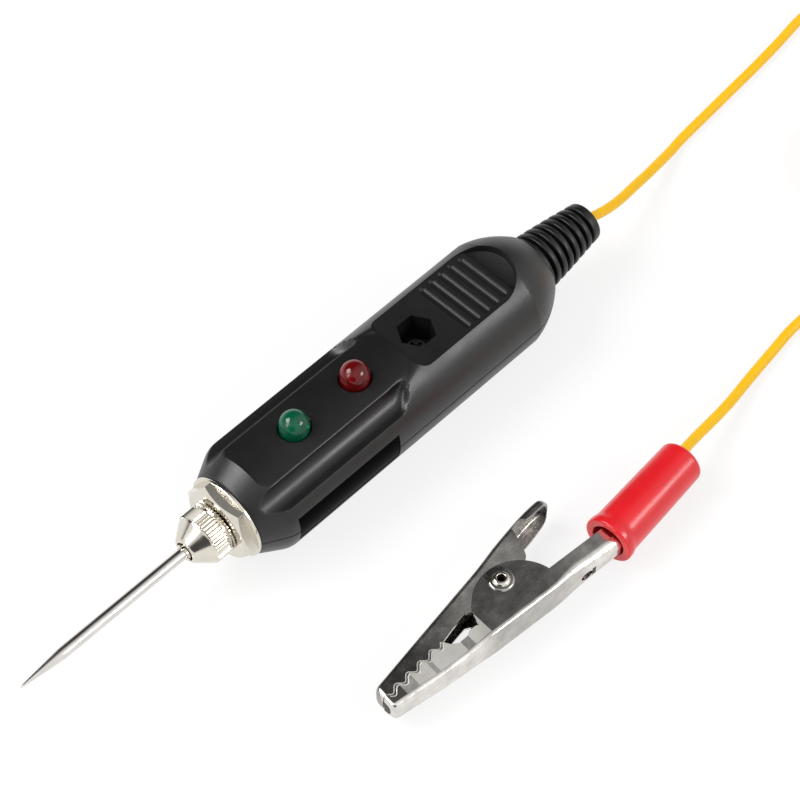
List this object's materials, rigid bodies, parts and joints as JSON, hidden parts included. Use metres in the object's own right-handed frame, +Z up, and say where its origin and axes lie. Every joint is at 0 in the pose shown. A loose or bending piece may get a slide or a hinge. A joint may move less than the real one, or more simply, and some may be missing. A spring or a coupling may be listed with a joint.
{
  "type": "automotive circuit tester",
  "caption": "Pen-shaped circuit tester: a steel needle in a knurled chuck, a fluted black housing with a green and a red lamp, and a yellow lead to a toothed alligator clip.",
  "frame": {"origin": "on the surface the tester lies on, under the middle of its length from needle tip to strain relief", "axes": "+X from the needle towards the lead, +Z up through the flat with the lamps, the clip on the -Y side"},
  "size_m": [0.2074, 0.0588, 0.0215],
  "materials": {
    "housing_black": "satin moulded plastic",
    "plate_black": "blank gloss plate",
    "lamp_green": "clear cast resin",
    "lamp_red": "clear cast resin",
    "board_tan": "laminated board",
    "resistor_tan": "lacquered",
    "contact_brass": "bright strip",
    "nickel": "bright nickel plate",
    "needle_steel": "ground and polished",
    "screw_steel": "black oxide",
    "relief_black": "moulded soft plastic",
    "lead_yellow": "smooth insulation",
    "sleeve_red": "glossy soft plastic",
    "clip_nickel": "nickel-plated pressed steel",
    "spring_steel": "drawn wire",
    "wire_copper": "bare copper strands"
  },
  "bodies": {
    "tester": {"upper_shell": "housing_black", "lower_shell": "housing_black", "side_plate": "plate_black", "green_lamp": "lamp_green", "red_lamp": "lamp_red", "circuit_board": "board_tan", "green_resistor": "resistor_tan", "red_resistor": "resistor_tan", "contact_strip": "contact_brass", "inner_lead": "lead_yellow", "chuck_body": "nickel", "washer": "nickel", "hex_nut": "nickel", "probe_needle": "needle_steel", "housing_screw": "screw_steel", "strain_relief": "relief_black", "lead_to_coil": "lead_yellow", "lead_coil": "lead_yellow", "lead_to_clip": "lead_yellow", "clip_sleeve": "sleeve_red", "clip_lower_jaw": "clip_nickel", "clip_rivet": "clip_nickel", "clip_spring": "spring_steel", "clip_wire_end": "wire_copper"},
    "chuck_nut": {"chuck_nut": "nickel"},
    "upper_jaw": {"clip_upper_jaw": "clip_nickel", "clip_spring_arm": "spring_steel"}
  },
  "joints": [
    {"name": "chuck_nut_turn", "type": "hinge", "parent": "tester", "child": "chuck_nut", "pos_m": [-0.0265, 0, 0.0092], "axis": [1, 0, 0], "range_deg": [0, 360]},
    {"name": "jaw_open", "type": "hinge", "parent": "tester", "child": "upper_jaw", "pos_m": [0.0016, -0.0383, 0.0044], "axis": [0, 0, -1], "range_deg": [0, 25], "stiffness_Nm_per_rad": 0.05, "springref_deg": -20.05}
  ]
}
